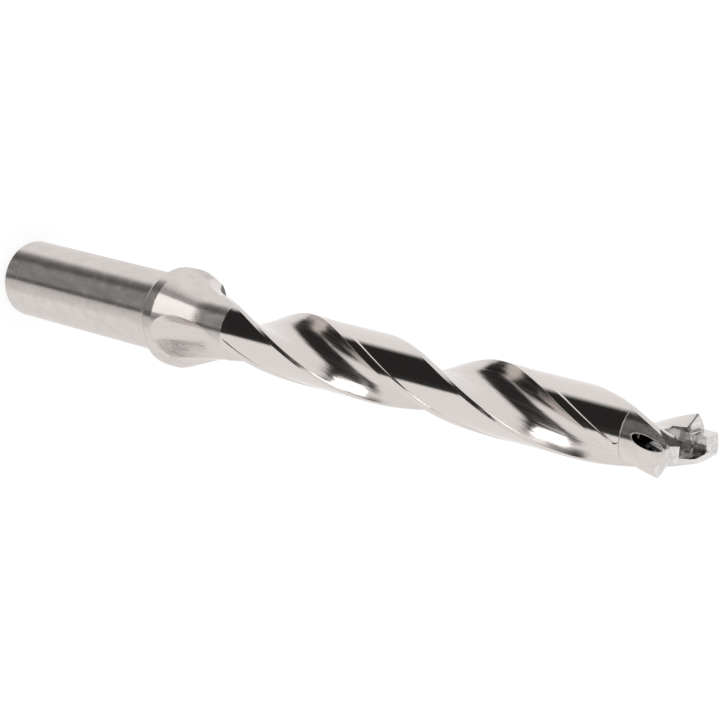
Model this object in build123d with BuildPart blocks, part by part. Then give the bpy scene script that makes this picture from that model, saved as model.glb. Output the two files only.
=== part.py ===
from build123d import *
import os
from math import asin, cos, degrees, radians, sin, sqrt, tan

# Body of an exchangeable-head drill, standing on its shank end with the tip up.
# Millimetres and degrees. Angles run counter-clockwise seen from the tip; those marked
# from the lead edge are counted from one leading edge at the front of the jaws.

# Shank
shank_diameter = 16.0
shank_length = 48.0
shank_chamfer = 1.2
inlet_diameter = 8.0
inlet_depth = 54.0
inlet_chamfer = 0.6

# Stop flange between the shank and the fluted body
flange_diameter = 20.0
flange_rear_diameter = 17.5
flange_chamfer_length = 2.0
flange_land_length = 2.5
flange_cone_angle = 19.0
neck_fillet = 9.0
neck_length = 2.06

# Fluted body
body_diameter = 13.5
overall_length = 182.5
helix_lead = 100.1
tip_lead_angle = 166.3
rake_offset = 0.79
flute_radius = 4.5
heel_wall_angle = 96.8
heel_wall_slope = 110.0
heel_chamfer_depth = 0.45
heel_chamfer_slope = 167.0
runout_radius = 12.0
runout_turn = 33.0
runout_flare_slope = 178.0
runout_sweep = 75.0
runout_steps = 5

# Relieved land between the margin and the heel
margin_angle = 14.0
relief_depth = 0.14
rear_pad_length = 6.0
front_pad_length = 10.6
front_pad_chamfer_depth = 0.3

# Head pocket at the tip
jaw_height = 3.2
jaw_rim_chamfer = 0.4
pocket_rim_chamfer = 0.2
seat_lead_chamfer = 0.3
pocket_diameter = 7.1
pocket_depth = 3.8
drive_face_angle = -54.0
drive_face_offset = 1.4
drive_groove = 1.0
clamp_groove_width = 0.8
clamp_groove_depth = 0.25
clamp_groove_rise = 0.3
gash_angle = -67.3
gash_offset = 0.55
gash_slope = 53.0

# Coolant ducts
duct_diameter = 2.1
duct_circle_radius = 4.6
duct_land_angle = -43.0
duct_overlap = 1.5
duct_steps = 8
outlet_tilt = 18.0
outlet_swing = 8.0
outlet_setback = 4.5
outlet_angle = -68.9

# Sizes that follow
body_radius = body_diameter / 2
flange_radius = flange_diameter / 2
turn_rate = 360 / helix_lead
seat_height = overall_length - jaw_height
relief_end = overall_length - front_pad_length
cone_length = (flange_radius - body_radius) / tan(radians(flange_cone_angle))
flange_land_end = shank_length + flange_chamfer_length + flange_land_length
cone_end = flange_land_end + cone_length
flute_start = cone_end + neck_length
relief_start = flute_start + rear_pad_length
flute_middle = Vector(cos(radians(heel_wall_angle / 2)), sin(radians(heel_wall_angle / 2)))
outlet_length = (body_radius - duct_circle_radius) / sin(radians(outlet_tilt))


def polar(radius, angle):
    return Vector(radius * cos(radians(angle)), radius * sin(radians(angle)))


def phase(height):
    """Angle of one leading edge at that height."""
    return tip_lead_angle - turn_rate * (overall_length - height)


def flute_corner():
    """Where the rake line and the heel wall would meet without their fillet."""
    rake_angle = 180 - degrees(asin(rake_offset / body_radius))
    rake = polar(1, rake_angle)
    wall_top = polar(body_radius - heel_chamfer_depth, heel_wall_angle)
    wall = polar(1, heel_wall_slope)
    start = polar(body_radius, 0)
    gap = wall_top - start
    reach = (gap.X * wall.Y - gap.Y * wall.X) / (rake.X * wall.Y - rake.Y * wall.X)
    return start + rake * reach


def out_to(radius, point, direction):
    """Where a line from that point meets the circle of that radius."""
    way = polar(1, direction)
    along = point.dot(way)
    return point + way * (sqrt(along**2 + radius**2 - point.length**2) - along)


def heel_foot(chamfer_depth):
    """Top of the heel wall, that far below the full diameter."""
    wall_top = polar(body_radius - heel_chamfer_depth, heel_wall_angle)
    return out_to(body_radius - chamfer_depth, wall_top, heel_wall_slope)


def flute_line(turn, chamfer_depth=heel_chamfer_depth, lip_reach=0.0):
    """Rake line, fillet and heel wall of one flute, turned about the axis."""
    corner = flute_corner()
    start = polar(body_radius, 0)
    lip = start + (start - corner).normalized() * lip_reach
    points = [p.rotate(Axis.Z, turn) for p in (lip, corner, heel_foot(chamfer_depth))]
    return FilletPolyline(*points, radius=flute_radius)


def fluted_section(land_radius, chamfer_depth=heel_chamfer_depth):
    """Cross-section with two flutes; the land behind each margin lies at land_radius."""
    with BuildSketch() as section:
        with BuildLine():
            for turn in (0, 180):
                flute = flute_line(turn, chamfer_depth)
                heel = out_to(land_radius, flute @ 1, heel_chamfer_slope + turn)
                margin = turn + 180 - margin_angle
                middle = turn + (heel_wall_angle + 180) / 2
                Line(flute @ 1, heel)
                ThreePointArc(heel, polar(land_radius, middle), polar(land_radius, margin))
                if land_radius < body_radius:
                    Line(polar(land_radius, margin), polar(body_radius, margin))
                ThreePointArc(
                    polar(body_radius, margin),
                    polar(body_radius, margin + margin_angle / 2),
                    polar(body_radius, turn + 180),
                )
        make_face()
    return section.sketch


def twisted(sketch, bottom, top):
    """The sketch turned to its helix phase at bottom and twisted up to top."""
    face = sketch.faces()[0].rotate(Axis.Z, phase(bottom)).moved(Pos(0, 0, bottom))
    height = top - bottom
    return Solid.extrude_linear_with_rotation(
        face, (0, 0, bottom), (0, 0, height), turn_rate * height
    )


def flute_void():
    """Open section that one flute takes out of the turned blank."""
    with BuildSketch() as void:
        with BuildLine():
            flute = flute_line(0, lip_reach=flange_radius)
            flare = flute @ 1 + polar(flange_radius, runout_flare_slope)
            far = flute_middle * (flange_radius * 2)
            Polyline(flute @ 1, flare, far, flute @ 0)
        make_face()
    return void.sketch


def runout_sections(turn):
    """The flute's section, followed back from its start as the wheel lifts out."""
    faces = []
    for step in range(runout_steps + 1):
        lift_angle = runout_sweep * step / runout_steps
        drop = runout_radius * sin(radians(lift_angle))
        lift = flute_middle * (runout_radius * (1 - cos(radians(lift_angle))))
        lifted = flute_void().faces()[0].moved(Pos(lift.X, lift.Y, 0))
        swing = phase(flute_start) + turn - runout_turn * drop / runout_radius
        faces.append(lifted.rotate(Axis.Z, swing).moved(Pos(0, 0, flute_start - drop)))
    return faces


def duct_sections(turn, top):
    """Round sections of one coolant duct, from inside the inlet bore up along its land."""
    bottom = inlet_depth - duct_overlap
    faces = []
    for step in range(duct_steps + 1):
        height = bottom + (top - bottom) * step / duct_steps
        angle = phase(height) + duct_land_angle + turn
        centre = polar(duct_circle_radius, angle) + Vector(0, 0, height)
        with BuildSketch(Plane(centre, x_dir=polar(1, angle), z_dir=(0, 0, 1))) as section:
            Circle(duct_diameter / 2)
        faces.append(section.sketch.faces()[0])
    return faces


def outlet_plane(turn):
    """Plane across the straight last stretch of a coolant duct, at its inner end."""
    surface_angle = tip_lead_angle + turn + outlet_angle
    outward = polar(1, surface_angle)
    along = polar(1, surface_angle + 90)
    up = Vector(0, 0, 1)
    flat = up * cos(radians(outlet_swing)) + along * sin(radians(outlet_swing))
    way = flat * cos(radians(outlet_tilt)) + outward * sin(radians(outlet_tilt))
    mouth = outward * body_radius + up * (overall_length - outlet_setback)
    return Plane(origin=mouth - way * outlet_length, z_dir=way)


with BuildPart() as drill_body:
    # Turned blank: shank, stop flange and the full round at the start of the flutes
    with BuildSketch(Plane.XZ):
        with BuildLine():
            Polyline(
                (0, 0),
                (shank_diameter / 2 - shank_chamfer, 0),
                (shank_diameter / 2, shank_chamfer),
                (shank_diameter / 2, shank_length),
                (flange_rear_diameter / 2, shank_length),
                (flange_radius, shank_length + flange_chamfer_length),
                (flange_radius, flange_land_end),
            )
            FilletPolyline(
                (flange_radius, flange_land_end),
                (body_radius, cone_end),
                (body_radius, flute_start),
                radius=neck_fillet,
            )
            Polyline((body_radius, flute_start), (0, flute_start), (0, 0))
        make_face()
    revolve(axis=Axis.Z)

    # Fluted body, at full diameter at both ends and relieved between them
    add(twisted(fluted_section(body_radius), flute_start, relief_start))
    add(twisted(fluted_section(body_radius - relief_depth), relief_start, relief_end))
    front_pad = fluted_section(body_radius, front_pad_chamfer_depth)
    add(twisted(front_pad, relief_end, overall_length))

    # Flutes run out through the flange
    for turn in (0, 180):
        loft(sections=runout_sections(turn), mode=Mode.SUBTRACT)

    # Head pocket: a round bore with a clamping groove, between two jaws
    with Locations((0, 0, overall_length)):
        Cylinder(
            pocket_diameter / 2,
            jaw_height + pocket_depth,
            align=(Align.CENTER, Align.CENTER, Align.MAX),
            mode=Mode.SUBTRACT,
        )
    with Locations((0, 0, seat_height + clamp_groove_rise)):
        Cylinder(
            pocket_diameter / 2 + clamp_groove_depth,
            clamp_groove_width,
            mode=Mode.SUBTRACT,
        )

    # Jaws are chamfered round their rims
    with BuildSketch(Plane.XZ):
        with Locations((body_radius, overall_length)):
            Rectangle(jaw_rim_chamfer * sqrt(2), jaw_rim_chamfer * sqrt(2), rotation=45)
        with Locations((pocket_diameter / 2, overall_length)):
            Rectangle(pocket_rim_chamfer * sqrt(2), pocket_rim_chamfer * sqrt(2), rotation=45)
    revolve(axis=Axis.Z, mode=Mode.SUBTRACT)

    # Each land: a seat in front of its drive face, and a gash at the heel of its jaw
    for turn in (0, 180):
        drive_angle = tip_lead_angle + drive_face_angle + turn
        seat_plane = Plane((0, 0, seat_height), x_dir=polar(1, drive_angle), z_dir=(0, 0, 1))
        with BuildSketch(seat_plane):
            with Locations((0, drive_face_offset)):
                Rectangle(flange_radius, flange_radius, align=(Align.MIN, Align.MIN))
        extrude(amount=jaw_height, mode=Mode.SUBTRACT)

        lip = polar(body_radius, phase(seat_height) + turn) + Vector(0, 0, seat_height)
        inward = (flute_corner() - polar(body_radius, 0)).normalized()
        inward = inward.rotate(Axis.Z, phase(seat_height) + turn)
        lead_plane = Plane(
            lip - inward * seat_lead_chamfer, x_dir=inward.rotate(Axis.Z, 90), z_dir=inward
        )
        with BuildSketch(lead_plane):
            Rectangle(seat_lead_chamfer * sqrt(2), seat_lead_chamfer * sqrt(2), rotation=45)
        extrude(amount=body_radius, mode=Mode.SUBTRACT)

        groove_origin = polar(drive_face_offset, drive_angle + 90) + Vector(0, 0, seat_height)
        with BuildSketch(Plane(groove_origin, z_dir=polar(1, drive_angle))):
            Circle(drive_groove / 2)
        extrude(amount=flange_radius, mode=Mode.SUBTRACT)

        gash_line = tip_lead_angle + gash_angle + turn
        gash_origin = polar(gash_offset, gash_line - 90) + Vector(0, 0, overall_length)
        gash_plane = Plane(gash_origin, x_dir=polar(1, gash_line - 90), z_dir=polar(1, gash_line))
        with BuildSketch(gash_plane):
            with BuildLine():
                foot = (body_radius, body_radius * tan(radians(gash_slope)))
                Polyline((0, 0), (body_radius, 0), foot, close=True)
            make_face()
        extrude(amount=flange_radius, mode=Mode.SUBTRACT)

    # Coolant: inlet in the shank end, a duct along each land, outlets behind the seats
    Cylinder(
        inlet_diameter / 2,
        inlet_depth,
        align=(Align.CENTER, Align.CENTER, Align.MIN),
        mode=Mode.SUBTRACT,
    )
    inlet_rim = edges().filter_by(GeomType.CIRCLE).group_by(Axis.Z)[0].sort_by(SortBy.RADIUS)[0]
    chamfer(inlet_rim, inlet_chamfer)
    for turn in (0, 180):
        outlet = outlet_plane(turn)
        loft(sections=duct_sections(turn, outlet.origin.Z + duct_diameter / 2), mode=Mode.SUBTRACT)
        with BuildSketch(outlet):
            Circle(duct_diameter / 2)
        extrude(amount=outlet_length * 2, mode=Mode.SUBTRACT)

drill_body.part.label = "drill_body"
os.makedirs("parts", exist_ok=True)
export_step(drill_body.part, "parts/drill_body.step")
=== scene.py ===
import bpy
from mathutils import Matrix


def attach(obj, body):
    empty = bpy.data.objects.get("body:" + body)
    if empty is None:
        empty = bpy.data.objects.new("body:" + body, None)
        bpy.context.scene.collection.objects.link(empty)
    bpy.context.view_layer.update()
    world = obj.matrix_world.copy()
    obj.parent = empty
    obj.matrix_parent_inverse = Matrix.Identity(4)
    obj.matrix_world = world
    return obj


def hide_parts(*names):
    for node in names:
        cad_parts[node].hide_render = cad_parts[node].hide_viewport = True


bl_info = {
    "name": "Exchangeable-Head Drill",
    "version": (1, 0, 0),
    "blender": (4, 5, 0),
    "location": "View3D > Sidebar > Drill",
    "description": "Dresses the body of an exchangeable-head drill and sets its studio stage",
    "category": "Object",
}

from math import asin, atan2, ceil, cos, pi, radians, sin, sqrt, tan

import bmesh
import bpy
from bpy.props import FloatProperty, FloatVectorProperty, PointerProperty
from mathutils import Matrix, Vector

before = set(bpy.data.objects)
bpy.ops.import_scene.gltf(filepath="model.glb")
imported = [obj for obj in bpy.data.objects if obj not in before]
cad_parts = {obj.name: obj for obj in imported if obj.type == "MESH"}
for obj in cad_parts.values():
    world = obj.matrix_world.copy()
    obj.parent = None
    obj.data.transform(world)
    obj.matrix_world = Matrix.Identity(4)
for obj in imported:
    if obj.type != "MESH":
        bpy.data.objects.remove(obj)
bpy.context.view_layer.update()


def length(name, description, default):
    return FloatProperty(name=name, description=description, default=default, unit="LENGTH")


def angle(name, description, default):
    return FloatProperty(
        name=name, description=description, default=radians(default), subtype="ANGLE"
    )


class DrillSizes(bpy.types.PropertyGroup):
    """Sizes of the drill body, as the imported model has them"""

    shank_radius: length("Shank radius", "Radius of the plain shank", 0.008)
    shank_length: length("Shank length", "From the rear face to the flange", 0.048)
    shank_chamfer: length("Shank chamfer", "Chamfer at the rear of the shank", 0.0012)
    inlet_radius: length("Inlet radius", "Radius of the coolant inlet bore", 0.004)
    inlet_depth: length("Inlet depth", "Depth of the coolant inlet bore", 0.054)
    inlet_chamfer: length("Inlet chamfer", "Chamfer at the inlet's mouth", 0.0006)
    flange_radius: length("Flange radius", "Outer radius of the stop flange", 0.010)
    flange_rear_radius: length("Flange rear radius", "Radius of its rear face", 0.00875)
    flange_chamfer: length("Flange chamfer", "Length of its rear chamfer", 0.002)
    flange_land: length("Flange land", "Length of its cylindrical land", 0.0025)
    cone_angle: angle("Cone angle", "Slope of the cone in front of the flange", 19)
    neck_fillet: length("Neck fillet", "Radius between the cone and the neck", 0.009)
    neck_length: length("Neck length", "From the cone's end to the flutes", 0.00206)
    body_radius: length("Body radius", "Radius over the margins", 0.00675)
    overall: length("Overall length", "From the rear face to the jaws' front", 0.1825)
    lead: length("Helix lead", "Height in which a flute makes one full turn", 0.1001)
    tip_angle: angle("Tip angle", "Direction of a leading edge at the front", 166.3)
    rake_offset: length("Rake offset", "Distance of the rake line from the axis", 0.00079)
    flute_radius: length("Flute radius", "Fillet at the bottom of a flute", 0.0045)
    heel_angle: angle("Heel angle", "From the leading edge to the heel wall's top", 96.8)
    heel_slope: angle("Heel wall slope", "Direction of the heel wall", 110)
    heel_depth: length("Heel chamfer depth", "Depth of the heel chamfer", 0.00045)
    pad_heel_depth: length("Pad chamfer depth", "The same on the front pad", 0.0003)
    chamfer_slope: angle("Heel chamfer slope", "Direction of the heel chamfer", 167)
    runout_radius: length("Run-out radius", "Radius on which a flute lifts out", 0.012)
    runout_turn: angle("Run-out turn", "Turn of a flute over its run-out", 33)
    flare_slope: angle("Run-out flare", "Direction of the run-out's open side", 178)
    runout_fillet: length("Run-out fillet", "Fillet at the end of a flute's run-out", 0.0042)
    margin: angle("Margin", "Width of the margin behind a leading edge", 14)
    relief: length("Relief", "Depth of the relieved land", 0.00014)
    rear_pad: length("Rear pad", "Full land before the relief starts", 0.006)
    front_pad: length("Front pad", "Full land at the front", 0.0106)
    relief_ramp: length("Relief ramp", "Length in which the relief deepens", 0.0022)
    relief_corner: length("Relief corner", "Rounding of the relief's front corner", 0.0014)
    edge: length("Edge rounding", "Rounding of the flute and land edges", 0.00009)
    jaw_height: length("Jaw height", "From the seats to the jaws' front", 0.0032)
    jaw_chamfer: length("Jaw chamfer", "Chamfer round the jaws", 0.0004)
    pocket_radius: length("Pocket radius", "Radius of the head pocket", 0.00355)
    pocket_depth: length("Pocket depth", "Depth of the pocket below the seats", 0.0038)
    pocket_chamfer: length("Pocket chamfer", "Chamfer round the pocket", 0.0002)
    seat_chamfer: length("Seat chamfer", "Chamfer at a seat's leading edge", 0.0003)
    drive_angle: angle("Drive angle", "Direction of a drive face from its edge", -54)
    drive_offset: length("Drive offset", "Distance of a drive face from the axis", 0.0014)
    drive_groove: length("Drive groove", "Diameter of the groove at its foot", 0.001)
    groove_length: length("Groove length", "Length of the groove from the middle out", 0.0057)
    clamp_width: length("Clamp groove width", "Width of the groove in the pocket", 0.0008)
    clamp_depth: length("Clamp groove depth", "Depth of the groove in the pocket", 0.00025)
    clamp_rise: length("Clamp groove rise", "Its middle above the seats", 0.0003)
    gash_angle: angle("Gash angle", "Direction of a jaw's heel gash", -67.3)
    gash_offset: length("Gash offset", "Distance of the gash from the axis", 0.00055)
    gash_slope: angle("Gash slope", "Steepness of the gash", 53)
    duct_radius: length("Duct radius", "Radius of a coolant duct", 0.00105)
    duct_circle: length("Duct circle", "Distance of a duct from the axis", 0.0046)
    duct_angle: angle("Duct angle", "Direction of a duct from its leading edge", -43)
    outlet_tilt: angle("Outlet tilt", "Lean of an outlet away from the axis", 18)
    outlet_swing: angle("Outlet swing", "Lean of an outlet round the axis", 8)
    outlet_setback: length("Outlet setback", "From the jaws' front to an outlet", 0.0045)
    outlet_angle: angle("Outlet angle", "Direction of an outlet", -68.9)


def fraction(name, description, default):
    return FloatProperty(
        name=name, description=description, default=default, min=0, max=1, subtype="FACTOR"
    )


def colour(name, description, default):
    return FloatVectorProperty(
        name=name, description=description, default=default, min=0, max=1, subtype="COLOR"
    )


class DrillLooks(bpy.types.PropertyGroup):
    """Colours and finishes of the plated steel"""

    steel: colour("Steel", "Colour of the plated steel", (0.679, 0.631, 0.604))
    ground_roughness: fraction("Ground roughness", "Roughness of shank and flange", 0.26)
    pad_roughness: fraction("Pad roughness", "Roughness of the front pads", 0.17)
    polished_roughness: fraction("Land roughness", "Roughness of the relieved lands", 0.07)
    flute_roughness: fraction("Flute roughness", "Roughness of the flutes", 0.1)
    milled_roughness: fraction("Milled roughness", "Roughness of pocket, seats and jaws", 0.1)
    milled: colour("Milled steel", "Colour of pocket, seats and jaws", (0.74, 0.715, 0.7))


def polar(radius, turn):
    return Vector((radius * cos(turn), radius * sin(turn)))


def flat(direction):
    return polar(1, direction).to_3d()


def steps(start, end, count):
    """Values that divide the way from start to end into that many equal steps."""
    return [start + (end - start) * i / count for i in range(count + 1)]


def eased(share):
    """The same share of 0 to 1, but slow at both ends."""
    return share * share * (3 - 2 * share)


def linked(name, data):
    """A new object of the scene."""
    obj = bpy.data.objects.new(name, data)
    bpy.context.scene.collection.objects.link(obj)
    return obj


def phase(sizes, height):
    """Direction of one leading edge at that height."""
    return sizes.tip_angle - 2 * pi * (sizes.overall - height) / sizes.lead


def flange_end(sizes):
    """Height at which the flange's land ends and its cone starts."""
    return sizes.shank_length + sizes.flange_chamfer + sizes.flange_land


def cone_end(sizes):
    rise = (sizes.flange_radius - sizes.body_radius) / tan(sizes.cone_angle)
    return flange_end(sizes) + rise


def flute_start(sizes):
    return cone_end(sizes) + sizes.neck_length


def relief_start(sizes):
    return flute_start(sizes) + sizes.rear_pad


def relief_end(sizes):
    return sizes.overall - sizes.front_pad


def out_to(radius, point, way):
    """Where a line from that point meets the circle of that radius."""
    along = point.dot(way)
    return point + way * (sqrt(max(along**2 + radius**2 - point.length_squared, 0)) - along)


class Flute:
    """Section of one flute: its lip, rake line, fillet, heel wall and heel chamfer."""

    def __init__(self, sizes, chamfer_depth, flare, fillet=None):
        radius = sizes.body_radius
        rake = polar(1, pi - asin(sizes.rake_offset / radius))
        wall = polar(1, sizes.heel_slope)
        top = polar(radius - sizes.heel_depth, sizes.heel_angle)
        self.lip = polar(radius, 0)
        gap = top - self.lip
        reach = (gap.x * wall.y - gap.y * wall.x) / (rake.x * wall.y - rake.y * wall.x)
        corner = self.lip + rake * reach
        self.top = out_to(radius - chamfer_depth, top, wall)
        back = (self.lip - corner).normalized()
        up = (self.top - corner).normalized()
        half = back.angle(up) / 2
        self.fillet = fillet or sizes.flute_radius
        self.foot = corner + back * (self.fillet / tan(half))
        self.rise = corner + up * (self.fillet / tan(half))
        self.centre = corner + (back + up).normalized() * (self.fillet / sin(half))
        self.far_lip = self.lip + back * sizes.flange_radius
        self.far_top = self.top + polar(sizes.flange_radius, flare)

    def parts(self, lift):
        """Four functions of 0 to 1: rake line, fillet, heel wall, and chamfer or flare."""
        first = self.foot - self.centre
        last = self.rise - self.centre
        start = atan2(first.y, first.x)
        sweep = atan2(last.y, last.x) - start
        sweep += 2 * pi if sweep < -pi else 0
        sweep -= 2 * pi if sweep > pi else 0
        return (
            lambda t: self.far_lip.lerp(self.foot, t) + lift,
            lambda t: self.centre + polar(self.fillet, start + sweep * t) + lift,
            lambda t: self.rise.lerp(self.top, t) + lift,
            lambda t: self.top.lerp(self.far_top, t) + lift,
        )


CROSSING_STEPS = 40
SPAN_STEPS = 24


def crossing(curve, inside, outside, radius):
    """Parameter at which the curve leaves the circle."""
    for _ in range(CROSSING_STEPS):
        middle = (inside + outside) / 2
        if curve(middle).length < radius:
            inside = middle
        else:
            outside = middle
    return inside


def span(curve, radius_low, radius_high):
    """The range of a curve that lies inside a circle at its low end and one at its high end."""
    inner = min(range(SPAN_STEPS + 1), key=lambda i: curve(i / SPAN_STEPS).length) / SPAN_STEPS
    if curve(inner).length >= max(radius_low, radius_high):
        return None
    low = 0.0 if curve(0.0).length < radius_low else crossing(curve, inner, 0.0, radius_low)
    high = 1.0 if curve(1.0).length < radius_high else crossing(curve, inner, 1.0, radius_high)
    return low, high


# Points of half a section: on the rake line, fillet, heel wall and chamfer; on a rounded corner
# between its two guard points; on the land, and on the margin
PART_COUNTS = (10, 26, 8, 4)
CORNER_COUNT = 4
LAND_COUNT = 44
MARGIN_COUNT = 9
# The step from the land up to the margin: each point's share of its height and of its reach to
# either side of the middle
LAND_STEP = ((0.0, -1.0), (0.12, -0.5), (0.5, 0.0), (0.88, 0.5), (1.0, 1.0))
LAND_STEP_REACH = 0.00012
# A rounded corner takes at most this share of the edges beside it and of the section's width
CORNER_SHARE = 0.45
WIDTH_SHARE = 0.05

CORNER_MIDDLE = (CORNER_COUNT + 2) // 2
FLUTE_COUNT = 3 * (CORNER_COUNT + 2) + sum(PART_COUNTS) - 2 * 3
HALF_COUNT = FLUTE_COUNT + LAND_COUNT + len(LAND_STEP) + MARGIN_COUNT
GROUND, RELIEVED, FLUTED, CUT = 0, 1, 2, 3


def soften(before, corner, after, size):
    """Points of a rounded corner, with a guard point on each side."""
    gaps = (before - corner, after - corner)
    size = min(size, *(gap.length * CORNER_SHARE for gap in gaps))
    back, on = (gap.normalized() * size for gap in gaps)
    first, last = corner + back, corner + on
    bend = [
        first * (1 - t) ** 2 + corner * 2 * t * (1 - t) + last * t**2
        for t in steps(0, 1, CORNER_COUNT - 1)
    ]
    return [corner + back * 2, *bend, corner + on * 2]


def ring(sizes, flute, land_radius, full_radius, lift, corner_shift):
    """Points of half a section: one flute and the land after it, in the helix's own frame."""
    parts = flute.parts(polar(1, sizes.heel_angle / 2) * lift)
    radii = (full_radius, full_radius, full_radius, land_radius)
    spans = [span(part, full_radius, radius) for part, radius in zip(parts, radii)]
    if not any(spans):
        return None
    lines = [
        [part(t) for t in steps(*found, count - 1)] if found else None
        for part, found, count in zip(parts, spans, PART_COUNTS)
    ]
    point = next(line for line in lines if line)[0]
    for i, count in enumerate(PART_COUNTS):
        lines[i] = lines[i] or [point] * count
        point = lines[i][-1]
    rake, fillet, wall, chamfer = lines
    start, end = rake[0], chamfer[-1]
    start_turn, end_turn = atan2(start.y, start.x), atan2(end.y, end.x)
    lip_turn = start_turn + pi
    land_end = lip_turn - sizes.margin - corner_shift
    edge = min(sizes.edge, (start - end).length * WIDTH_SHARE)
    guard = edge * 2 / full_radius
    half_step = LAND_STEP_REACH / full_radius

    before_lip = polar(full_radius, start_turn - guard * 2.5)
    after_heel = polar(land_radius, end_turn + guard * 2.5)
    points = soften(before_lip, start, rake[1], edge) + rake[1:-1] + fillet + wall[1:-1]
    points += soften(wall[-2], wall[-1], chamfer[1], edge) + chamfer[1:-1]
    points += soften(chamfer[-2], end, after_heel, edge)
    for turn in steps(end_turn + guard * 3, land_end - half_step * 2, LAND_COUNT - 1):
        points.append(polar(land_radius, turn))
    rise = full_radius - land_radius
    for height, along in LAND_STEP:
        points.append(polar(land_radius + rise * height, land_end + half_step * along))
    for turn in steps(land_end + half_step * 2, lip_turn - guard * 3, MARGIN_COUNT - 1):
        points.append(polar(full_radius, turn))
    return [point.to_3d() for point in points]


# Steps along the shank, the flange's chamfer and its land
SHANK_STEPS = 24
CHAMFER_STEPS = 8
FLANGE_STEPS = 6
# Rings this close to an edge of the turned blank keep its shading crisp
GUARD = 0.00008


def neck_profile(s):
    """Radius and height pairs of the turned blank, from the inlet's floor to the neck."""
    shank, rear, flange = s.shank_radius, s.flange_rear_radius, s.flange_radius
    inlet, small, top = s.inlet_radius, s.shank_chamfer, s.shank_length
    land = top + s.flange_chamfer
    slope = (flange - rear) / s.flange_chamfer
    rows = [
        (0.0, s.inlet_depth),
        (inlet, s.inlet_depth),
        (inlet, s.inlet_chamfer),
        (inlet + s.inlet_chamfer, 0.0),
        (shank - small - GUARD, 0.0),
        (shank - small, 0.0),
        (shank - small + GUARD, GUARD),
        (shank - GUARD, small - GUARD),
        (shank, small),
        (shank, small + GUARD),
    ]
    rows += [(shank, height) for height in steps(small, top, SHANK_STEPS)[1:-1]]
    rows += [
        (shank, top - GUARD),
        (shank, top),
        (shank + GUARD, top),
        (rear - GUARD * 2, top),
        (rear - GUARD, top),
        (rear, top + GUARD),
        (rear + GUARD, top + GUARD * 2.5),
    ]
    rises = steps(0.0, s.flange_chamfer, CHAMFER_STEPS)[2:-1]
    rows += [(rear + slope * rise, top + rise) for rise in rises]
    rows += [
        (flange - GUARD * slope * 1.5, land - GUARD * 1.5),
        (flange - GUARD * 0.15, land),
        (flange, land + GUARD * 1.5),
    ]
    heights = steps(land, flange_end(s), FLANGE_STEPS)[1:-1]
    return rows + [(flange, height) for height in heights]


def blank_radius(s, height):
    """Radius of the turned blank from the flange's land upwards."""
    end = cone_end(s)
    reach = s.neck_fillet * tan(s.cone_angle / 2)
    if height <= flange_end(s):
        return s.flange_radius
    if height <= end - reach * cos(s.cone_angle):
        return s.flange_radius - (height - flange_end(s)) * tan(s.cone_angle)
    if height < end + reach:
        sag = sqrt(s.neck_fillet**2 - (end + reach - height) ** 2)
        return s.body_radius + s.neck_fillet - sag
    return s.body_radius


# The search for a run-out's end: its steps, the points it looks at on each part of the flute, and
# the share of the run-out's radius that it goes down
SEARCH_STEPS = 50
SEARCH_POINTS = 40
SEARCH_REACH = 0.995
# Steps down a run-out, and the lift at which its fillet has become narrow
RUNOUT_STEPS = 84
NARROW_LIFT = 0.0045
# Distance between rings on the body and beside a step in it, and steps round the relief's corner
BODY_STEP = 0.00072
TINY_STEP = 0.00005
CORNER_STEPS = 14


def lift_at(sizes, height):
    """How far a flute is lifted, and its extra turn in the helix's own frame, below its start."""
    drop = flute_start(sizes) - height
    if drop <= 0:
        return 0.0, 0.0
    part = min(drop / sizes.runout_radius, 1.0)
    lift = sizes.runout_radius * (1 - sqrt(1 - part**2))
    return lift, 2 * pi * drop / sizes.lead - sizes.runout_turn * part


def runout_end(sizes, flute):
    """Height at which the lifted flute just leaves the blank."""
    high = flute_start(sizes)
    low = high - sizes.runout_radius * SEARCH_REACH
    for _ in range(SEARCH_STEPS):
        middle = (low + high) / 2
        lift, _ = lift_at(sizes, middle)
        parts = flute.parts(polar(lift, sizes.heel_angle / 2))
        nearest = min(part(t).length for part in parts for t in steps(0, 1, SEARCH_POINTS))
        if nearest < blank_radius(sizes, middle):
            high = middle
        else:
            low = middle
    return high


def ring_heights(s, end):
    """Heights of the rings with flutes, from the end of the run-outs to the tip."""

    def body(low, high):
        return steps(low, high, ceil((high - low) / BODY_STEP))[1:]

    start, low, high = flute_start(s), relief_start(s), relief_end(s)
    corner = high - s.relief_corner
    # Closer together near the end of the run-outs
    shares = [t**2 * 0.6 + t * 0.4 for t in steps(0, 1, RUNOUT_STEPS)]
    heights = [end + (start - end) * share for share in shares]
    heights += body(start, low)[:-1]
    heights += [low + TINY_STEP * i for i in (-1, 0, 1)]
    heights += body(low, corner)[:-1]
    quarter = steps(0, pi / 2, CORNER_STEPS)[:-1]
    heights += [corner + s.relief_corner * sin(turn) for turn in quarter]
    heights += [high + TINY_STEP * i for i in (-1, 0, 1, 2)]
    return heights + body(high, s.overall)


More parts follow.
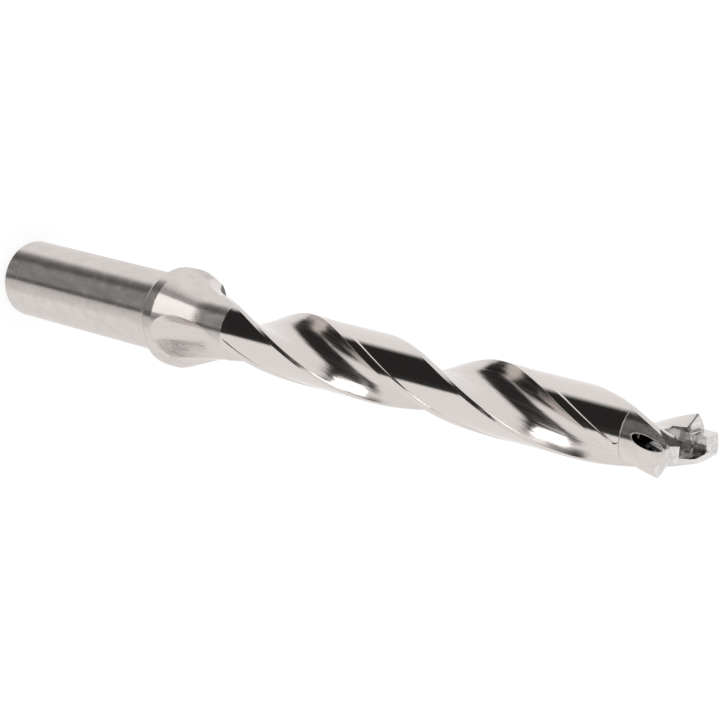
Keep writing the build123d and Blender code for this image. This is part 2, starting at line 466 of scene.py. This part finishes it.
def straight_bar(s):
    """The whole body as one closed grid of rings, before its helix twist."""
    start, low, high = flute_start(s), relief_start(s), relief_end(s)
    corner = high - s.relief_corner
    plain = Flute(s, s.heel_depth, s.chamfer_slope)
    pad = Flute(s, s.pad_heel_depth, s.chamfer_slope)
    end = runout_end(s, Flute(s, s.heel_depth, s.flare_slope))
    rings = []
    for height in ring_heights(s, end):
        lift, swing = lift_at(s, height)
        full = land = blank_radius(s, height)
        if low < height < high:
            rise = eased(min((height - low) / s.relief_ramp, 1))
            land = full - s.relief * min(rise, (high - height) / TINY_STEP)
        shift = 0.0
        if corner < height < high:
            rest = height - corner
            shift = (s.relief_corner - sqrt(max(s.relief_corner**2 - rest**2, 0))) / full
        if height < start:
            narrow = eased(min(lift / NARROW_LIFT, 1))
            fillet = s.flute_radius + (s.runout_fillet - s.flute_radius) * narrow
            flute = Flute(s, s.heel_depth, s.flare_slope, fillet)
        else:
            flute = pad if height > high + TINY_STEP else plain
        half = ring(s, flute, land, full, lift, shift)
        if half:
            swung = [Matrix.Rotation(swing, 3, "Z") @ point for point in half]
            both = [(point * side).to_2d() for side in (1, -1) for point in swung]
            rings.append([Vector((*point, height)) for point in both])

    rows = neck_profile(s)
    for height in (flange_end(s) + TINY_STEP * 2 * i for i in (-1, 0, 1)):
        if height < end - TINY_STEP:
            rows.append((blank_radius(s, height), height))
    turns = [atan2(point.y, point.x) for point in rings[0]]
    base = [[Vector((*polar(radius, turn), height)) for turn in turns] for radius, height in rows]
    return base + rings, len(base)


def finish_of(s, column, in_base, low, high):
    """Which finish a face of the bar has, by its place in the section and its height."""
    column %= HALF_COUNT
    if in_base:
        return GROUND
    if CORNER_MIDDLE <= column < FLUTE_COUNT - CORNER_MIDDLE:
        return FLUTED
    on_land = column == 0 or column > CORNER_MIDDLE
    slack = TINY_STEP * 2
    relieved = low > relief_start(s) - slack and high < relief_end(s) + slack
    return RELIEVED if on_land and relieved else GROUND


def bridge(made, low, high):
    """Faces between two rings of as many points."""
    after = [(i + 1) % len(low) for i in range(len(low))]
    return [made.faces.new((low[i], low[j], high[j], high[i])) for i, j in enumerate(after)]


def solid_mesh(name, made):
    """The mesh of a closed bmesh, with its faces pointing outwards."""
    bmesh.ops.recalc_face_normals(made, faces=made.faces)
    mesh = bpy.data.meshes.new(name)
    made.to_mesh(mesh)
    made.free()
    return mesh


# Points this close are one
MERGE_DISTANCE = 0.0000002


def grid_mesh(name, rings, base, sizes):
    """A closed mesh through rings of points, with a cap at each end."""
    made = bmesh.new()
    rows = [[made.verts.new(point) for point in points] for points in rings]
    zone = made.faces.layers.int.new("zone")
    for row, (low, high) in enumerate(zip(rows, rows[1:])):
        for i, face in enumerate(bridge(made, low, high)):
            face[zone] = finish_of(sizes, i, row < base - 1, low[i].co.z, high[i].co.z)
    for points in (rows[0][::-1], rows[-1]):
        made.faces.new(points)[zone] = CUT
    bmesh.ops.remove_doubles(made, verts=made.verts, dist=MERGE_DISTANCE)
    bmesh.ops.dissolve_degenerate(made, edges=made.edges, dist=MERGE_DISTANCE / 2)
    return solid_mesh(name, made)


class Plane:
    """A flat frame for drawing a cut's outline."""

    def __init__(self, origin, across, way):
        self.origin = Vector(origin)
        self.way = Vector(way).normalized()
        self.across = Vector(across).normalized()
        self.up = self.way.cross(self.across)

    def at(self, x, y, z):
        return self.origin + self.across * x + self.up * y + self.way * z


def disc(radius, sides):
    return [tuple(polar(radius, turn)) for turn in steps(0, 2 * pi, sides)[:-1]]


def diamond(size):
    """A square turned by 45 degrees, whose side cuts a chamfer."""
    return [(-size, 0), (0, -size), (size, 0), (0, size)]


def cutter(name, rings, closed=False):
    """An object that is cut away, closed by caps or, for a rim, into itself."""
    made = bmesh.new()
    rows = [[made.verts.new(point) for point in points] for points in rings]
    for low, high in zip(rows, rows[1:]):
        bridge(made, low, high)
    if closed:
        bridge(made, rows[-1], rows[0])
    else:
        made.faces.new(rows[0][::-1])
        made.faces.new(rows[-1])
    mesh = solid_mesh(name, made)
    zone = mesh.attributes.new("zone", "INT", "FACE")
    zone.data.foreach_set("value", [CUT] * len(mesh.polygons))
    return linked(name, mesh)


def prism(name, plane, outline, depth):
    """A straight cut of that outline."""
    return cutter(name, [[plane.at(x, y, z) for x, y in outline] for z in (0.0, depth)])


# Sides of the round cuts: the pocket, the rims, the reliefs and the coolant outlets
POCKET_SIDES, RIM_SIDES, GROOVE_SIDES, OUTLET_SIDES = 128, 192, 40, 56
# How far a cut starts outside the surface
CLEARANCE = 0.001
UP = Vector((0, 0, 1))


def rim(name, radius, height, size):
    """A chamfer's cutter round a rim."""
    turns = steps(0, 2 * pi, RIM_SIDES)[:-1]
    corners = [(radius + x, height + z) for x, z in diamond(size)]
    rings = [[Vector((*polar(far, turn), up)) for turn in turns] for far, up in corners]
    return cutter(name, rings, closed=True)


def pocket_cutters(s):
    """The round pocket, its clamping groove and the chamfers round the jaws."""
    seat = s.overall - s.jaw_height
    floor = Plane((0, 0, seat - s.pocket_depth), (1, 0, 0), UP)
    groove = Plane((0, 0, seat + s.clamp_rise - s.clamp_width / 2), (1, 0, 0), UP)
    wall = disc(s.pocket_radius, POCKET_SIDES)
    groove_wall = disc(s.pocket_radius + s.clamp_depth, POCKET_SIDES)
    return [
        prism("pocket", floor, wall, s.jaw_height + s.pocket_depth + CLEARANCE),
        prism("clamp_groove", groove, groove_wall, s.clamp_width),
        rim("jaw_rim", s.body_radius, s.overall, s.jaw_chamfer),
        rim("pocket_rim", s.pocket_radius, s.overall, s.pocket_chamfer),
    ]


def jaw_cutters(s, turn):
    """What shapes one jaw: its seat, the seat's lead, the relief, the gash and the outlet."""
    seat = s.overall - s.jaw_height
    drive = s.tip_angle + s.drive_angle + turn
    size = s.flange_radius
    low = s.drive_offset
    base = Plane((0, 0, seat), flat(drive), UP)
    corners = [(0, low), (size, low), (size, low + size), (0, low + size)]
    cutters = [prism("seat", base, corners, s.jaw_height + CLEARANCE)]

    guide = Flute(s, s.heel_depth, s.flare_slope)
    lean = phase(s, seat) + turn
    inward = Matrix.Rotation(lean, 3, "Z") @ (guide.foot - guide.lip).normalized().to_3d()
    lip = polar(s.body_radius, lean).to_3d() + UP * seat
    base = Plane(lip - inward * s.seat_chamfer, UP.cross(inward), inward)
    cutters.append(prism("seat_lead", base, diamond(s.seat_chamfer), s.body_radius))

    foot = polar(s.drive_offset, drive + pi / 2).to_3d() + UP * seat
    groove = disc(s.drive_groove / 2, GROOVE_SIDES)
    base = Plane(foot, UP, flat(drive))
    cutters.append(prism("drive_groove", base, groove, s.groove_length))

    line = s.tip_angle + s.gash_angle + turn
    across = flat(line - pi / 2)
    base = Plane(across * s.gash_offset + UP * s.overall, across, flat(line))
    rise = tan(s.gash_slope)
    size = s.body_radius
    back = -CLEARANCE / 2
    corners = [(back, back * rise), (size, back * rise), (size, size * rise)]
    cutters.append(prism("gash", base, corners, s.flange_radius))

    base, reach = outlet_plane(s, turn)
    return cutters + [prism("outlet", base, disc(s.duct_radius, OUTLET_SIDES), reach * 2)]


def outlet_plane(s, turn):
    """Plane across the straight last stretch of a coolant duct, and its length."""
    surface = s.tip_angle + turn + s.outlet_angle
    along = UP * cos(s.outlet_swing) + flat(surface + pi / 2) * sin(s.outlet_swing)
    way = along * cos(s.outlet_tilt) + flat(surface) * sin(s.outlet_tilt)
    mouth = flat(surface) * s.body_radius + UP * (s.overall - s.outlet_setback)
    reach = (s.body_radius - s.duct_circle) / sin(s.outlet_tilt)
    across = flat(surface + pi / 2)
    across = (across - way * across.dot(way)).normalized()
    return Plane(mouth - way * reach, across, way), reach


class Wiring:
    """Adds nodes to a tree and joins them."""

    def __init__(self, tree):
        self.tree = tree

    def put(self, socket, value):
        if isinstance(value, bpy.types.NodeSocket):
            self.tree.links.new(value, socket)
        else:
            socket.default_value = value

    def node(self, kind, *values, **settings):
        """A new node with its settings, and values or sockets for its first inputs."""
        node = self.tree.nodes.new(kind)
        for name, value in settings.items():
            setattr(node, name, value)
        for socket, value in zip(node.inputs, values):
            self.put(socket, value)
        return node

    def fill(self, node, **inputs):
        """Sets a node's inputs by name, with _ for a blank."""
        for name, value in inputs.items():
            self.put(node.inputs[name.replace("_", " ")], value)
        return node

    def math(self, operation, *values):
        return self.node("ShaderNodeMath", *values, operation=operation).outputs[0]

    def plus(self, first, second):
        return self.math("ADD", first, second)

    def less(self, first, second):
        return self.math("SUBTRACT", first, second)

    def times(self, first, second):
        return self.math("MULTIPLY", first, second)

    def ramp(self, value, low, high, start=0.0, end=1.0):
        """A smooth step from start to end as value goes from low to high."""
        numbers = (value, low, high, start, end)
        way = "SMOOTHERSTEP"
        return self.node("ShaderNodeMapRange", *numbers, interpolation_type=way).outputs[0]

    def line(self, value, low, start, high, end):
        """Straight from start to end as value goes from low to high, and level outside."""
        return self.node("ShaderNodeMapRange", value, low, high, start, end).outputs[0]

    def window(self, value, low, high, soft_low, soft_high):
        """1 between low and high, fading to 0 outside them."""
        rise = self.ramp(self.less(value, low), -soft_low, soft_low)
        return self.times(rise, self.ramp(self.less(high, value), -soft_high, soft_high))


class GeometryTree(Wiring):
    """A Geometry Nodes tree with named inputs."""

    def __init__(self, name):
        super().__init__(bpy.data.node_groups.new(name, "GeometryNodeTree"))
        for way in ("INPUT", "OUTPUT"):
            self.socket("Geometry", way, "NodeSocketGeometry")
        self.values = {}
        self.start = self.node("NodeGroupInput")

    def socket(self, name, way, kind):
        return self.tree.interface.new_socket(name, in_out=way, socket_type=kind)

    def named(self, name, value, subtype="DISTANCE"):
        socket = self.socket(name, "INPUT", "NodeSocketFloat")
        socket.subtype = subtype
        self.values[socket.identifier] = value
        return self.start.outputs[name]

    def mesh(self, name, base):
        """The tree's result on the base object, as a plain mesh object of its own."""
        modifier = base.modifiers.new(name, "NODES")
        modifier.node_group = self.tree
        for identifier, value in self.values.items():
            modifier[identifier] = value
        depsgraph = bpy.context.evaluated_depsgraph_get()
        made = bpy.data.meshes.new_from_object(
            base.evaluated_get(depsgraph), preserve_all_data_layers=True, depsgraph=depsgraph
        )
        base.modifiers.remove(modifier)
        made.name = name
        for slot in reversed(range(len(made.materials))):
            if made.materials[slot] is None:
                made.materials.pop(index=slot)
        return linked(name, made)


def twist(tree, geometry, tip, overall, lead, start):
    """Turns every point about the axis by its height, as the helix does."""
    position = tree.node("GeometryNodeInputPosition").outputs[0]
    height = tree.node("ShaderNodeSeparateXYZ", position).outputs["Z"]
    drop = tree.less(overall, tree.math("MAXIMUM", height, start))
    turn = tree.less(tip, tree.times(tree.math("DIVIDE", drop, lead), 2 * pi))
    rotate = tree.node("ShaderNodeVectorRotate", rotation_type="Z_AXIS")
    tree.fill(rotate, Vector=position, Angle=turn)
    moved = tree.node("GeometryNodeSetPosition")
    return tree.fill(moved, Geometry=geometry, Position=rotate.outputs[0]).outputs[0]


# Sides of a twisted coolant duct, steps along it, and how far it reaches into the inlet
DUCT_SIDES = 28
DUCT_STEPS = 120
DUCT_OVERLAP = 0.0015


def helix_tree(s, start, cutters, materials):
    """The tree that twists the bar, cuts it and gives each zone its material."""
    tree = GeometryTree("helix_body")
    lead = tree.named("Helix lead", s.lead)
    tip = tree.named("Tip angle", s.tip_angle, "ANGLE")
    overall = tree.named("Overall length", s.overall)
    twist_start = tree.named("Twist start", start)
    duct_radius = tree.named("Duct radius", s.duct_radius)
    duct_circle = tree.named("Duct circle", s.duct_circle)
    duct_angle = tree.named("Duct angle", s.duct_angle, "ANGLE")
    bottom = s.inlet_depth - DUCT_OVERLAP
    outlet, _ = outlet_plane(s, 0.0)
    top = outlet.origin.z + s.duct_radius
    body = twist(tree, tree.start.outputs["Geometry"], tip, overall, lead, twist_start)

    tube = tree.node("GeometryNodeMeshCylinder", fill_type="NGON")
    tree.fill(tube, Vertices=DUCT_SIDES, Side_Segments=DUCT_STEPS)
    tree.fill(tube, Radius=duct_radius, Depth=top - bottom)
    cuts = []
    for turn in (0.0, pi):
        place = tree.plus(duct_angle, turn)
        across = tree.times(tree.math("COSINE", place), duct_circle)
        back = tree.times(tree.math("SINE", place), duct_circle)
        spot = tree.node("ShaderNodeCombineXYZ", across, back, (bottom + top) / 2)
        moved = tree.node("GeometryNodeTransform")
        tree.fill(moved, Geometry=tube.outputs["Mesh"], Translation=spot.outputs[0])
        duct = twist(tree, moved.outputs[0], tip, overall, lead, 0.0)
        stored = tree.node("GeometryNodeStoreNamedAttribute", data_type="INT", domain="FACE")
        cuts.append(tree.fill(stored, Geometry=duct, Name="zone", Value=CUT).outputs[0])
    for made in cutters:
        found = tree.node("GeometryNodeObjectInfo", transform_space="ORIGINAL")
        cuts.append(tree.fill(found, Object=made).outputs["Geometry"])

    for made in cuts:
        away = tree.node("GeometryNodeMeshBoolean", operation="DIFFERENCE", solver="MANIFOLD")
        body = tree.fill(away, Mesh_1=body, Mesh_2=made).outputs["Mesh"]
    body = tree.node("GeometryNodeRealizeInstances", body).outputs[0]
    zone = tree.node("GeometryNodeInputNamedAttribute", data_type="INT")
    tree.fill(zone, Name="zone")
    for number, material in materials.items():
        same = tree.node("FunctionNodeCompare", data_type="INT", operation="EQUAL")
        first, second = [socket for socket in same.inputs if socket.type == "INT"]
        tree.put(first, zone.outputs["Attribute"])
        tree.put(second, number)
        painted = tree.node("GeometryNodeSetMaterial")
        tree.fill(painted, Geometry=body, Selection=same.outputs["Result"], Material=material)
        body = painted.outputs[0]
    tree.node("NodeGroupOutput", body)
    return tree


# The studio round the drill, by direction: the azimuth in degrees from +X, -90 being the camera's
# side, and the elevation. A card is low, high and the softness of both ends, for its azimuth and
# its elevation, and then how much light it takes or gives.
LEDGE = ((-105, -66, 7, 5), (-5, 4, 2.5, 3), 0.85)
REAR_CARD = ((80, 99, 4, 4), (-34, 6, 7, 7), 0.8)
SIDE_CARD = ((126, 150, 5, 5), (-14, 8, 4, 4), 0.93)
UPPER_CARD = ((-168, -150, 5, 5), (36, 52, 5, 5), 0.75)
FLOOR_GAP = ((-66, -32, 10, 8), (-72, -54, 6, 5), 0.8)
LAMP_GLOW = ((-124, -84, 9, 6), (-15, -7, 2, 4), 0.5)
# The dark opening low in front: its edges as elevation and azimuth, at its bottom and its top,
# its softness, and the elevations between which it ends
OPENING_LEFT = (-60, -172, -22, -142)
OPENING_RIGHT = (-50, -73, -22, -86)
OPENING_SOFT = 12
OPENING_TOP = (-18, -14)
# The two upright strips, which lean with the elevation: azimuths and softness
LEFT_STRIP = (-145, -130, 5, 5)
RIGHT_STRIP = (-86, -71, 5, 4)
LEFT_LEAN = (-42, -12, 0.0, 8.0)
RIGHT_LEAN = (-14, 15, 18, 40)
RIGHT_LEAN_BY = 12.0
LEFT_FADE = (-12, 0, 0.98, 0.0)
RIGHT_FADE = (9, 18, 0.97, 0.6)
RIGHT_GAP = (-14, -7, 2, 2)
# The dark under the drill: azimuths, and the elevations over which it fades
UNDER = (-150, -50, 20, 20)
UNDER_FADE = (-74, -64, 0.9, 0.0)
WALL_LIGHT = 0.985
DARKEST = 0.026


def studio_world():
    """White to the camera, and a studio with dark cards to everything else."""
    world = bpy.data.worlds.new("studio")
    world.use_nodes = True
    world.node_tree.nodes.clear()
    wire = Wiring(world.node_tree)
    way = wire.node("ShaderNodeTexCoord").outputs["Generated"]
    x, y, z = wire.node("ShaderNodeSeparateXYZ", way).outputs
    turn = wire.math("DEGREES", wire.math("ARCTAN2", y, x))
    rise = wire.math("DEGREES", wire.math("ARCSINE", z))

    def card(azimuth, elevation, strength):
        shape = wire.times(wire.window(turn, *azimuth), wire.window(rise, *elevation))
        return wire.times(shape, strength)

    left_edge = wire.line(rise, *OPENING_LEFT)
    right_edge = wire.line(rise, *OPENING_RIGHT)
    opening = wire.window(turn, left_edge, right_edge, OPENING_SOFT, OPENING_SOFT)
    opening = wire.times(opening, wire.ramp(rise, *OPENING_TOP, 1.0, 0.0))
    opening = wire.math("MAXIMUM", opening, card(*FLOOR_GAP))
    left = wire.window(wire.less(turn, wire.ramp(rise, *LEFT_LEAN)), *LEFT_STRIP)
    left = wire.times(left, wire.ramp(rise, *LEFT_FADE))
    lean = wire.times(wire.window(rise, *RIGHT_LEAN), RIGHT_LEAN_BY)
    right = wire.window(wire.less(turn, lean), *RIGHT_STRIP)
    right = wire.times(right, wire.ramp(rise, *RIGHT_FADE))
    right = wire.times(right, wire.less(1.0, wire.window(rise, *RIGHT_GAP)))
    under = wire.times(wire.window(turn, *UNDER), wire.ramp(rise, *UNDER_FADE))
    light = wire.less(1.0, opening)
    cards = [card(*each) for each in (LEDGE, REAR_CARD, SIDE_CARD, UPPER_CARD)]
    for dark in (left, right, *cards, under):
        light = wire.times(light, wire.less(1.0, dark))
    light = wire.plus(wire.times(light, WALL_LIGHT), card(*LAMP_GLOW))
    light = wire.plus(light, DARKEST)
    seen = wire.node("ShaderNodeLightPath").outputs["Is Camera Ray"]
    mix = wire.fill(wire.node("ShaderNodeMix", data_type="FLOAT"), Factor=seen, A=light, B=1.0)
    background = wire.node("ShaderNodeBackground", (1, 1, 1, 1), mix.outputs["Result"])
    wire.node("ShaderNodeOutputWorld", background.outputs[0])
    return world


# How brightly the studio lights a white floor
FLOOR_LIGHT = 0.85


def floor_material(name, tone, shadow):
    """Pale paint that the camera sees as white, down to a faint shadow of the object."""
    material = bpy.data.materials.new(name)
    material.use_nodes = True
    material.node_tree.nodes.clear()
    wire = Wiring(material.node_tree)
    paint = wire.node("ShaderNodeBsdfDiffuse", (tone, tone, tone, 1))
    shaded = wire.node("ShaderNodeBsdfDiffuse", (shadow, shadow, shadow, 1))
    glow = wire.fill(wire.node("ShaderNodeEmission"), Strength=1 - shadow * FLOOR_LIGHT)
    white = wire.node("ShaderNodeAddShader", shaded.outputs[0], glow.outputs[0])
    paths = wire.node("ShaderNodeLightPath").outputs
    seen = wire.math("MAXIMUM", paths["Is Camera Ray"], paths["Is Glossy Ray"])
    mix = wire.node("ShaderNodeMixShader", seen, paint.outputs[0], white.outputs[0])
    wire.node("ShaderNodeOutputMaterial", mix.outputs[0])
    return material


# The lamp: its direction from the drill and its size from there, in degrees, its radiance, its
# distance and the point that it faces
LAMP_TURN, LAMP_RISE = -104, -10.5
LAMP_WIDTH, LAMP_HEIGHT = 38, 8
LAMP_RADIANCE = 4.0
LAMP_DISTANCE = 3.0
LAMP_AIM = Vector((0, 0, 0.11))


def strip_lamp(name):
    """A flat lamp that makes the white patch low in the flutes."""
    turn, rise = radians(LAMP_TURN), radians(LAMP_RISE)
    way = Vector((cos(rise) * cos(turn), cos(rise) * sin(turn), sin(rise)))
    light = bpy.data.lights.new(name, "AREA")
    light.shape = "RECTANGLE"
    light.size = 2 * LAMP_DISTANCE * tan(radians(LAMP_WIDTH) / 2)
    light.size_y = 2 * LAMP_DISTANCE * tan(radians(LAMP_HEIGHT) / 2)
    light.energy = LAMP_RADIANCE * pi * light.size * light.size_y
    place = Matrix.Translation(way * LAMP_DISTANCE + LAMP_AIM)
    linked(name, light).matrix_world = place @ way.to_track_quat("Z", "Y").to_matrix().to_4x4()


def square(name, reach, material):
    """A square that reaches that far from the origin each way."""
    mesh = bpy.data.meshes.new(name)
    corners = ((-1, -1), (1, -1), (1, 1), (-1, 1))
    mesh.from_pydata([(x * reach, y * reach, 0) for x, y in corners], [], [(0, 1, 2, 3)])
    mesh.materials.append(material)
    obj = linked(name, mesh)
    return obj


class Finish(Wiring):
    """One steel finish: its own material, built on the drill's coordinates."""

    def __init__(self, name, sizes):
        self.material = bpy.data.materials.new(name)
        self.material.use_nodes = True
        super().__init__(self.material.node_tree)
        self.shader = self.tree.nodes["Principled BSDF"]
        self.fill(self.shader, Metallic=1)
        self.sizes = sizes
        self.place = self.node("ShaderNodeTexCoord").outputs["Object"]
        self.x, self.y, self.z = self.node("ShaderNodeSeparateXYZ", self.place).outputs

    def noise(self, across, along, detail, roughness=0.6, helix=False):
        """Patches, by how many fit in a metre across the axis and along it or the helix."""
        place = self.place
        if helix:
            turn = self.times(self.z, -2 * pi / self.sizes.lead)
            rotate = self.node("ShaderNodeVectorRotate", rotation_type="Z_AXIS")
            place = self.fill(rotate, Vector=place, Angle=turn).outputs[0]
        parts = self.node("ShaderNodeSeparateXYZ", place).outputs
        moved = [self.times(part, by) for part, by in zip(parts, (across, across, along))]
        made = self.node("ShaderNodeTexNoise")
        self.fill(made, Vector=self.node("ShaderNodeCombineXYZ", *moved).outputs[0], Scale=1.0)
        return self.fill(made, Detail=detail, Roughness=roughness).outputs["Fac"]

    def total(self, first, first_share, second, second_share):
        return self.plus(self.times(first, first_share), self.times(second, second_share))

    def distance(self, origin, way):
        """Distance from a straight line through the origin, along that way."""
        kind = "ShaderNodeVectorMath"
        gap = self.node(kind, self.place, origin, operation="SUBTRACT").outputs[0]
        cross = self.node(kind, gap, way, operation="CROSS_PRODUCT").outputs[0]
        return self.node(kind, cross, operation="LENGTH").outputs["Value"]

    def colour(self, amount, steel, dark, light):
        """From a darker to a lighter shade of the steel, as amount goes from 0 to 1."""
        mix = self.node("ShaderNodeMix", amount, data_type="RGBA")
        for socket, factor in ((mix.inputs[6], dark), (mix.inputs[7], light)):
            socket.default_value = (*(channel * factor for channel in steel), 1)
        self.put(self.shader.inputs["Base Color"], mix.outputs[2])

    def roughness(self, amount, low, high):
        self.fill(self.shader, Roughness=self.ramp(amount, 0.25, 0.75, low, high))

    def bump(self, height, distance):
        node = self.node("ShaderNodeBump")
        self.fill(node, Distance=distance, Strength=1.0, Height=height)
        self.fill(self.shader, Normal=node.outputs[0])


def ground_steel(sizes, looks):
    """Cylindrically ground: fine marks round the axis, with faint patches of wear."""
    made = Finish("ground_steel", sizes)
    marks = made.noise(300, 9000, 3)
    patches = made.noise(420, 300, 4, 0.65)
    mixed = made.total(marks, 0.45, patches, 0.55)
    contrast = (0.3, 0.7)
    made.colour(made.ramp(mixed, *contrast), looks.steel, 0.93, 1.06)

    # Smoother on the front pads, and worn dull along their rear edge and round the outlets
    front = sizes.overall - sizes.front_pad
    blend, rim_start, rim_end, worn_by, uneven = 0.001, 0.00004, 0.00012, 0.4, 0.015
    level = made.ramp(made.z, front - blend, front, looks.ground_roughness, looks.pad_roughness)
    worn = made.window(made.z, front - 0.0001, front + 0.0002, 0.0001, 0.00015)
    for turn in (0.0, pi):
        outlet, _ = outlet_plane(sizes, turn)
        away = made.distance(outlet.origin, outlet.way)
        radius = sizes.duct_radius
        rim_wear = made.ramp(away, radius + rim_start, radius + rim_end, 1.0, 0.0)
        rim_wear = made.times(rim_wear, made.ramp(made.z, front, front + 0.0005))
        worn = made.math("MAXIMUM", worn, rim_wear)
    level = made.plus(level, made.times(worn, worn_by))
    spread = made.ramp(mixed, *contrast, -uneven, uneven)
    made.fill(made.shader, Roughness=made.plus(level, spread))
    made.bump(marks, 0.0000001)

    # The highlights are drawn out along the axis, because the marks run round it
    tangent = made.node("ShaderNodeTangent", direction_type="RADIAL", axis="Z").outputs[0]
    made.fill(made.shader, Anisotropic=1.0, Anisotropic_Rotation=0.25, Tangent=tangent)
    return made.material


def polished_land(sizes, looks):
    """Relieved land: polished nearly to a mirror, with faint marks along the helix."""
    made = Finish("polished_land", sizes)
    streaks = made.noise(2600, 60, 4, helix=True)
    specks = made.noise(5200, 5200, 2)
    mixed = made.total(streaks, 0.5, specks, 0.5)
    level = looks.polished_roughness
    made.colour(mixed, looks.steel, 0.96, 1.04)
    made.roughness(mixed, level - 0.02, level + 0.06)
    made.bump(mixed, 0.0000016)
    return made.material


def polished_flute(sizes, looks):
    """Flute: polished after grinding, with soft ripples and streaks that follow the helix."""
    made = Finish("polished_flute", sizes)
    streaks = made.noise(3600, 50, 4, helix=True)
    ripples = made.noise(260, 60, 2, helix=True)
    level = looks.flute_roughness
    made.colour(streaks, looks.steel, 0.86, 1.08)
    made.roughness(streaks, level - 0.04, level + 0.12)
    made.bump(made.total(ripples, 0.00008, streaks, 0.00002), 1.0)
    return made.material


def milled_steel(sizes, looks):
    """Pocket, seats, jaws and gashes: finely milled, with painted shade in blotches on the pocket
    wall.
    """
    made = Finish("milled_steel", sizes)
    passes = made.noise(900, 6500, 2)
    mixed = made.total(passes, 0.5, made.noise(1300, 1300, 3), 0.5)
    xx, yy = made.times(made.x, made.x), made.times(made.y, made.y)
    reach = made.math("SQRT", made.plus(xx, yy))
    front, edge = sizes.overall, sizes.pocket_radius + 0.0003
    # Mask of the pocket wall below its rim, where shade is painted into the colour
    wall = made.ramp(reach, edge, edge + 0.0001, 1.0, 0.0)
    wall = made.times(wall, made.ramp(made.z, front - 0.0004, front - 0.0001, 1.0, 0.0))

    # Below the seats the painted shade leaves the wall light on two opposite sides, by twice the
    # direction's angle
    apart = made.times(made.less(yy, xx), 0.44)
    both = made.times(made.times(made.x, made.y), -1.8)
    facing = made.math("DIVIDE", made.plus(both, apart), made.times(reach, reach))
    low_down = made.ramp(made.z, front - 0.0036, front - 0.0026, 1.0, 0.0)
    unshaded_sides = made.times(made.ramp(facing, 0.72, 0.93), low_down)
    wall = made.times(wall, made.less(1.0, made.times(unshaded_sides, 0.9)))
    shade_blotches = made.ramp(made.noise(700, 900, 4, 0.7), 0.4, 0.62)
    # Painted shade: how much the pocket wall's colour is darkened, deeper in blotches
    dark = made.times(wall, made.plus(0.8, made.times(shade_blotches, 1.4)))
    shade = made.less(made.ramp(mixed, 0.3, 0.7), dark)
    # Down to 0.2 of the milled colour where the painted shade is deepest
    made.colour(made.line(shade, -2.2, 0.0, 1.0, 1.0), looks.milled, 0.2, 1.06)
    level = looks.milled_roughness
    made.roughness(mixed, level - 0.05, level + 0.1)
    made.bump(passes, 0.0000015)
    return made.material


# The camera: its lens and sensor in millimetres, its place in metres and its axes
LENS = 131.05
SENSOR = 36
CAMERA_PLACE = (0, -0.344217568, 0.447179729)
CAMERA_RIGHT = Vector((-0.25232635, 0.68486791, 0.6835842))
CAMERA_UP = Vector((-0.96764157, -0.17939032, -0.17745113))
CAMERA_BACK = Vector((0.00109781, -0.70624008, 0.70797157))
FAR = 20
FLOOR_REACH = 3
SHARP_ANGLE = 38


class DRILL_OT_stage(bpy.types.Operator):
    """Set up the camera, the floor and the lights"""

    bl_idname = "drill.stage"
    bl_label = "Stage"

    def execute(self, context):
        camera = bpy.data.cameras.new("camera")
        camera.lens = LENS
        camera.sensor_width = SENSOR
        camera.clip_end = FAR
        eye = linked("camera", camera)
        turn = Matrix((CAMERA_RIGHT, CAMERA_UP, CAMERA_BACK)).transposed().to_4x4()
        eye.matrix_world = Matrix.Translation(CAMERA_PLACE) @ turn
        context.scene.camera = eye

        context.scene.world = studio_world()
        strip_lamp("strip_lamp")
        context.scene.view_settings.view_transform = "Standard"

        paint = floor_material("pale_floor", tone=0.9, shadow=0.25)
        floor = square("floor", FLOOR_REACH, paint)
        # Much of the studio in the steel's reflections lies below the floor
        floor.visible_glossy = False
        floor.visible_shadow = False
        return {"FINISHED"}


class DRILL_OT_body(bpy.types.Operator):
    """Make the drill body: its flutes, lands, jaws, pocket and coolant ducts"""

    bl_idname = "drill.body"
    bl_label = "Drill body"

    def execute(self, context):
        s = context.scene.drill_sizes
        looks = context.scene.drill_looks
        rings, base_rows = straight_bar(s)
        bar = linked("bar", grid_mesh("bar", rings, base_rows, s))
        cutters = [*pocket_cutters(s), *jaw_cutters(s, 0.0), *jaw_cutters(s, pi)]
        materials = {
            GROUND: ground_steel(s, looks),
            RELIEVED: polished_land(s, looks),
            FLUTED: polished_flute(s, looks),
            CUT: milled_steel(s, looks),
        }
        tree = helix_tree(s, rings[base_rows][0].z, cutters, materials)
        body = tree.mesh("drill_body_steel", bar)
        for spare in [bar, *cutters]:
            bpy.data.objects.remove(spare)
        body.data.set_sharp_from_angle(angle=radians(SHARP_ANGLE))
        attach(body, "root")
        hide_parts("drill_body")
        return {"FINISHED"}


class DRILL_PT_panel(bpy.types.Panel):
    """The drill's operators, finishes and sizes"""

    bl_idname = "DRILL_PT_panel"
    bl_label = "Exchangeable-head drill"
    bl_space_type = "VIEW_3D"
    bl_region_type = "UI"
    bl_category = "Drill"

    def draw(self, context):
        layout = self.layout
        for operator in (DRILL_OT_stage, DRILL_OT_body):
            layout.operator(operator.bl_idname)
        for group in (context.scene.drill_looks, context.scene.drill_sizes):
            column = layout.column(align=True)
            for name in type(group).__annotations__:
                column.prop(group, name)


CLASSES = (DrillSizes, DrillLooks, DRILL_OT_stage, DRILL_OT_body, DRILL_PT_panel)


def register():
    for cls in CLASSES:
        bpy.utils.register_class(cls)
    bpy.types.Scene.drill_sizes = PointerProperty(type=DrillSizes)
    bpy.types.Scene.drill_looks = PointerProperty(type=DrillLooks)


def unregister():
    del bpy.types.Scene.drill_looks
    del bpy.types.Scene.drill_sizes
    for cls in reversed(CLASSES):
        bpy.utils.unregister_class(cls)


def main():
    register()
    bpy.ops.drill.stage()
    bpy.ops.drill.body()


if __name__ == "__main__":
    main()
